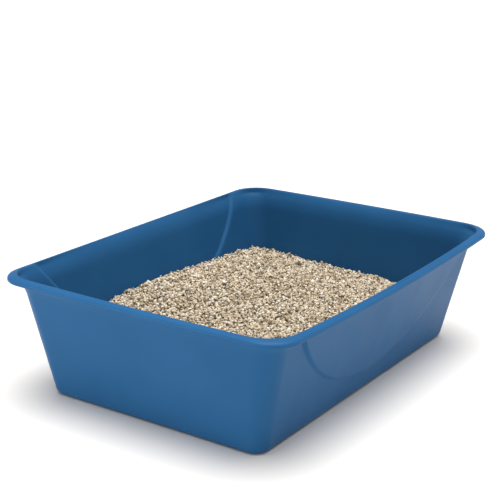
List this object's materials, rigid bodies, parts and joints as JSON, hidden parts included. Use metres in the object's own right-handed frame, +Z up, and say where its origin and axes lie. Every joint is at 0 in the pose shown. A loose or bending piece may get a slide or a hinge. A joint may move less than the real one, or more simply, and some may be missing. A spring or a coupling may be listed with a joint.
{
  "type": "open cat litter pan",
  "caption": "Open rectangular litter pan with a rolled rim and curved side panels, holding a bed of clay litter that lifts out.",
  "frame": {"origin": "centre of the pan's footprint, on the surface that it stands on", "axes": "+Y along the pan's length, +X across its width, +Z up out of the pan"},
  "size_m": [0.3114, 0.4094, 0.117],
  "materials": {
    "pan_plastic": "satin moulded blue polypropylene",
    "clay_litter": "matte granular clay"
  },
  "bodies": {
    "pan": {"pan": "pan_plastic"},
    "litter": {"litter": "clay_litter"}
  },
  "joints": [
    {"name": "litter_lift_out", "type": "slide", "parent": "pan", "child": "litter", "axis": [0, 0, 1], "range_m": [0, 0.13]}
  ]
}
